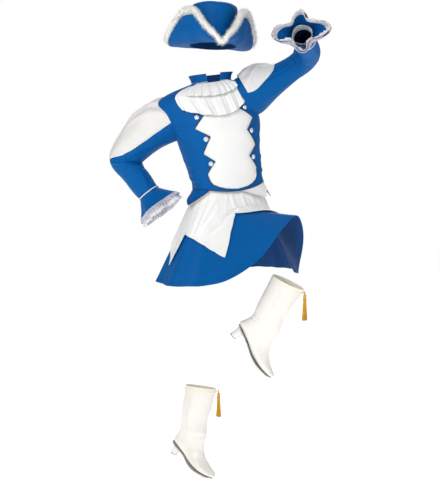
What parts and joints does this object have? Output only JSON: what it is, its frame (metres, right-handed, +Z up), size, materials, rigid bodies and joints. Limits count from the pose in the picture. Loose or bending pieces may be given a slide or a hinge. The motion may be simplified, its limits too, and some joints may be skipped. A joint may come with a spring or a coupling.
{
  "type": "majorette costume with tricorn hat and tasselled boots",
  "caption": "Worn, hollow majorette costume: toothed jacket with bib and jabot, flared cuffs, pointed overskirt, flared skirt, fur-edged tricorn and tasselled boots.",
  "frame": {"origin": "middle of the neck opening, level with where the jacket rests on the wearer's shoulders", "axes": "+Z up along the standing wearer, -Y the way the wearer faces, +X the wearer's left, where the arm is raised"},
  "size_m": [0.8062, 0.5768, 1.7804],
  "materials": {
    "blue_satin": "smooth satin with a soft sheen",
    "white_satin": "smooth satin with a soft sheen",
    "lace": "fine lace with a silver edge",
    "fur": "short fluffy fur trim",
    "buttons": "silvery pearl",
    "boot_upper": "smooth, half gloss",
    "boot_sole": "covered heel with a grey sole edge",
    "gold_cord": "gold thread"
  },
  "bodies": {
    "root": {"jacket_front_right": "blue_satin", "jacket_front_left": "blue_satin", "jacket_back": "blue_satin", "sleeve_right": "blue_satin", "sleeve_left": "blue_satin", "sleeve_middle_left": "blue_satin", "sleeve_lower_right": "blue_satin", "sleeve_lower_left": "blue_satin", "cuff_right": "blue_satin", "cuff_left": "blue_satin", "collar": "blue_satin", "basque": "blue_satin", "skirt": "blue_satin", "hat_crown": "blue_satin", "hat_brim": "blue_satin", "sleeve_inset_right": "white_satin", "sleeve_inset_left": "white_satin", "bib": "white_satin", "turnback_left": "white_satin", "overskirt": "white_satin", "jabot_fall": "white_satin", "jabot_ruffle": "white_satin", "cuff_piping_right": "white_satin", "cuff_piping_left": "white_satin", "cuff_lace_right": "lace", "cuff_lace_left": "lace", "cuff_frill_right": "lace", "cuff_frill_left": "lace", "wrist_lace_right": "lace", "wrist_lace_left": "lace", "hat_fur": "fur", "button_right_1": "buttons", "button_right_2": "buttons", "button_right_3": "buttons", "button_left_1": "buttons", "button_left_2": "buttons", "button_left_3": "buttons", "boot_right": "boot_upper", "boot_left": "boot_upper", "boot_vamp_right": "boot_upper", "boot_vamp_left": "boot_upper", "boot_sole_right": "boot_sole", "boot_sole_left": "boot_sole", "boot_heel_right": "boot_sole", "boot_heel_left": "boot_sole", "tassel_right": "gold_cord", "tassel_left": "gold_cord"}
  },
  "joints": []
}
